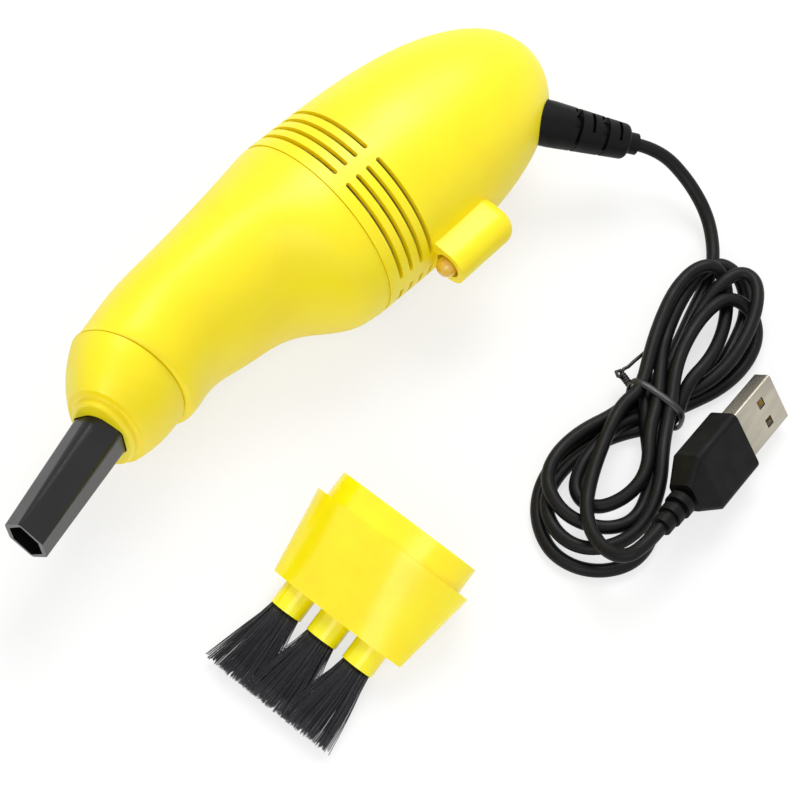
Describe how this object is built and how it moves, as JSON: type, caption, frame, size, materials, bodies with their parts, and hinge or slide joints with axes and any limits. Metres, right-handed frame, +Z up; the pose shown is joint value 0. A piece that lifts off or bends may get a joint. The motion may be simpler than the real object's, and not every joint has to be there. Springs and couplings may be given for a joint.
{
  "type": "desktop mini vacuum cleaner",
  "caption": "Small hand-held desk vacuum cleaner with USB cord: yellow two-part body, bent pull-off nose with flat black nozzle, lamp under a hood, slide switch, and a separate brush head.",
  "frame": {"origin": "on the floor, below the middle of the cleaner and its brush head", "axes": "+X along the body from the nozzle to the tail, +Y towards the back of the body with the switch, +Z up; the cleaner lies on its side"},
  "size_m": [0.1777, 0.1318, 0.0481],
  "materials": {
    "yellow_plastic": "satin",
    "black_plastic": "semi-gloss",
    "black_pvc": "satin",
    "black_bristle": "satin nylon",
    "white_plastic": "satin",
    "plated_steel": "bright nickel plate",
    "magnet": "matt ferrite",
    "iron_core": "stacked sheets",
    "brass": "bright",
    "filter_cloth": "fine weave",
    "red_wire": "smooth",
    "black_wire": "smooth",
    "resistor_body": "painted",
    "lamp_lens": "clear dome",
    "tie_plastic": "smooth"
  },
  "bodies": {
    "body": {"rear_shell": "yellow_plastic", "joint_ring": "yellow_plastic", "fan_plate": "white_plastic", "motor_mount": "white_plastic", "motor_can": "plated_steel", "motor_end_cap": "white_plastic", "motor_magnets": "magnet", "motor_terminals": "brass", "lamp": "lamp_lens", "lamp_leads": "plated_steel", "resistor": "resistor_body", "switch_body": "black_plastic", "anchor_block": "white_plastic", "tail_screws": "plated_steel", "strain_relief": "black_pvc", "supply_wire": "red_wire", "motor_wire": "red_wire", "return_wire": "black_wire", "lamp_feed_wire": "red_wire", "lamp_return_wire": "black_wire", "cord_lead": "black_pvc", "cord_hank": "black_pvc", "cord_tail": "black_pvc", "twist_tie": "tie_plastic", "plug_grip": "black_pvc", "plug_shell": "plated_steel", "plug_tongue": "white_plastic", "plug_contacts": "brass"},
    "rotor": {"fan": "white_plastic", "armature": "iron_core", "motor_shaft": "plated_steel"},
    "knob": {"switch_knob": "black_plastic"},
    "front": {"front_shell": "yellow_plastic"},
    "cap": {"nose_cap": "yellow_plastic", "nozzle": "black_plastic"},
    "filter": {"filter_frame": "white_plastic", "filter_cloth": "filter_cloth"},
    "brush": {"brush_head": "yellow_plastic", "bristle_tuft_1": "black_bristle", "bristle_tuft_2": "black_bristle", "bristle_tuft_3": "black_bristle"}
  },
  "joints": [
    {"name": "fan_spin", "type": "hinge", "parent": "body", "child": "rotor", "pos_m": [0.03, 0.0296, 0.0241], "axis": [1, 0, 0], "continuous": true},
    {"name": "switch_slide", "type": "slide", "parent": "body", "child": "knob", "axis": [-1, 0, 0], "range_m": [0, 0.003]},
    {"name": "front_pull", "type": "slide", "parent": "body", "child": "front", "axis": [-1, 0, 0], "range_m": [0, 0.06]},
    {"name": "cap_pull", "type": "slide", "parent": "front", "child": "cap", "axis": [-0.9919, -0.1266, 0], "range_m": [0, 0.02]},
    {"name": "filter_pull", "type": "slide", "parent": "body", "child": "filter", "axis": [-1, 0, 0], "range_m": [0, 0.03]},
    {"name": "brush_lift", "type": "slide", "parent": "body", "child": "brush", "axis": [0, 0, 1], "range_m": [0, 0.05]}
  ],
  "couplings": [
    {"joint": "filter_pull", "follows": "front_pull", "ratio": 0.5}
  ]
}
